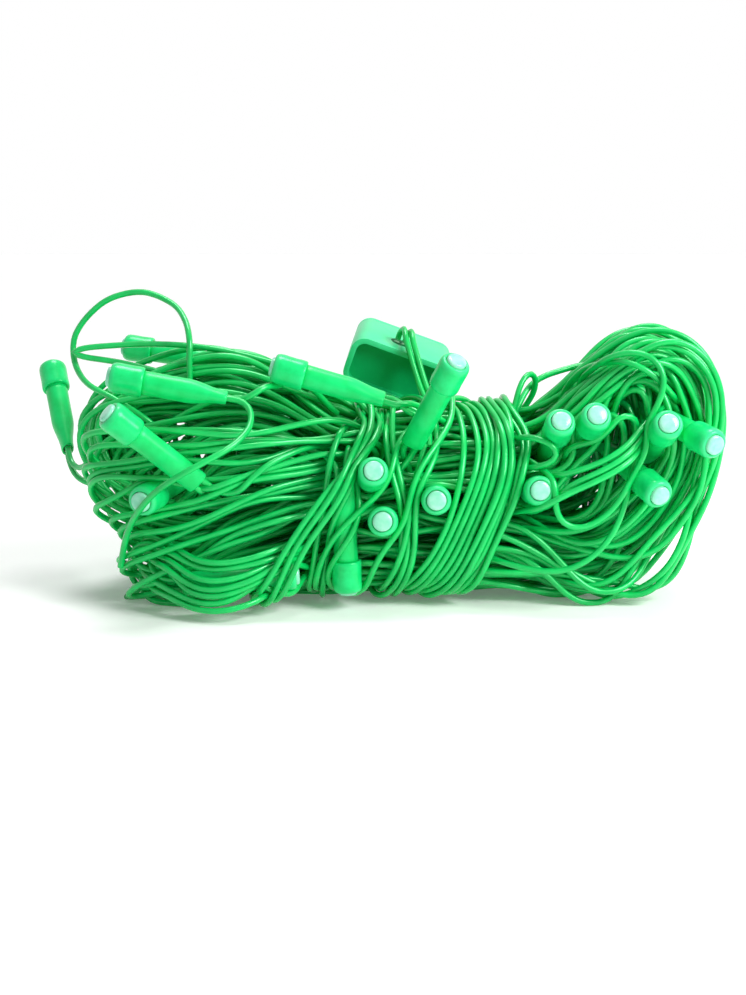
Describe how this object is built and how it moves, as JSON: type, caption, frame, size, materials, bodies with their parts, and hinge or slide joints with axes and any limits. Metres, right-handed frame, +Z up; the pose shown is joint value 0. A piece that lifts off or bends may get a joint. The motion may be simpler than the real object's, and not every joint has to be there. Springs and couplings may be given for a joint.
{
  "type": "string light hank",
  "caption": "Hank of green LED string lights: wire laid in loops, tied round the waist, with sleeved lamps standing out and a two-pin plug on top.",
  "frame": {"origin": "middle of the whole part's box, on the floor it lies on", "axes": "+X along the hank towards its open right end, +Y away from the viewer, +Z up"},
  "size_m": [0.1895, 0.0989, 0.0797],
  "materials": {
    "wire": "glossy extruded PVC",
    "sleeve": "satin, slightly see-through PVC",
    "cap": "glossy moulded PVC",
    "lens": "clear epoxy, flat-topped",
    "lamp_lead": "tinned wire and crimp",
    "plug_plastic": "satin moulded plastic",
    "pin_brass": "bright, turned",
    "screw_steel": "zinc plated",
    "grip_rubber": "moulded",
    "board": "laminate",
    "capacitor_film": "dipped film",
    "diode_epoxy": "moulded epoxy",
    "resistor_body": "lacquered"
  },
  "bodies": {
    "hank": {"hank_loops": "wire", "waist_wrap": "wire", "loose_loop": "wire", "lamp_tails": "wire", "free_tails": "wire", "plug_lead": "wire", "bedded_sleeves": "sleeve", "bedded_caps": "cap", "bedded_lenses": "lens", "bedded_leads": "lamp_lead"},
    "far_left_lamp": {"far_left_sleeve": "sleeve", "far_left_cap": "cap", "far_left_lens": "lens", "far_left_leads": "lamp_lead"},
    "back_left_lamp": {"back_left_sleeve": "sleeve", "back_left_cap": "cap", "back_left_lens": "lens", "back_left_leads": "lamp_lead"},
    "upper_left_lamp": {"upper_left_sleeve": "sleeve", "upper_left_cap": "cap", "upper_left_lens": "lens", "upper_left_leads": "lamp_lead"},
    "front_left_lamp": {"front_left_sleeve": "sleeve", "front_left_cap": "cap", "front_left_lens": "lens", "front_left_leads": "lamp_lead"},
    "top_lamp": {"top_sleeve": "sleeve", "top_cap": "cap", "top_lens": "lens", "top_leads": "lamp_lead"},
    "upright_lamp": {"upright_sleeve": "sleeve", "upright_cap": "cap", "upright_lens": "lens", "upright_leads": "lamp_lead"},
    "plug": {"plug_shell": "plug_plastic", "plug_rear_cover": "plug_plastic", "plug_pins": "pin_brass", "plug_screws": "screw_steel", "cord_grip": "grip_rubber", "lead_ends": "wire", "driver_board": "board", "capacitor": "capacitor_film", "rectifier_diodes": "diode_epoxy", "dropper_resistor": "resistor_body"}
  },
  "joints": [
    {"name": "far_left_bend", "type": "hinge", "parent": "hank", "child": "far_left_lamp", "pos_m": [-0.0839, 0.003, 0.036], "axis": [0.1999, -0.7184, 0.6663], "range_deg": [-20, 30]},
    {"name": "back_left_bend", "type": "hinge", "parent": "hank", "child": "back_left_lamp", "pos_m": [-0.0434, 0.0244, 0.058], "axis": [0.083, 0.9965, 0], "range_deg": [0, 30]},
    {"name": "upper_left_bend", "type": "hinge", "parent": "hank", "child": "upper_left_lamp", "pos_m": [-0.0364, -0.0324, 0.0545], "axis": [-0.0767, 0.9971, 0], "range_deg": [0, 30]},
    {"name": "front_left_bend", "type": "hinge", "parent": "hank", "child": "front_left_lamp", "pos_m": [-0.0434, -0.0364, 0.034], "axis": [0.6866, 0, 0.727], "range_deg": [0, 30]},
    {"name": "top_bend", "type": "hinge", "parent": "hank", "child": "top_lamp", "pos_m": [0.0021, -0.027, 0.0535], "axis": [0.0833, 0.9545, 0.2863], "range_deg": [0, 30]},
    {"name": "upright_bend", "type": "hinge", "parent": "hank", "child": "upright_lamp", "pos_m": [0.0091, -0.02604, 0.042], "axis": [0.9104, 0, -0.4138], "range_deg": [0, 30]},
    {"name": "plug_tilt", "type": "hinge", "parent": "hank", "child": "plug", "pos_m": [0.00698, 0.01462, 0.06427], "axis": [0.9397, 0, -0.342], "range_deg": [0, 25]}
  ]
}
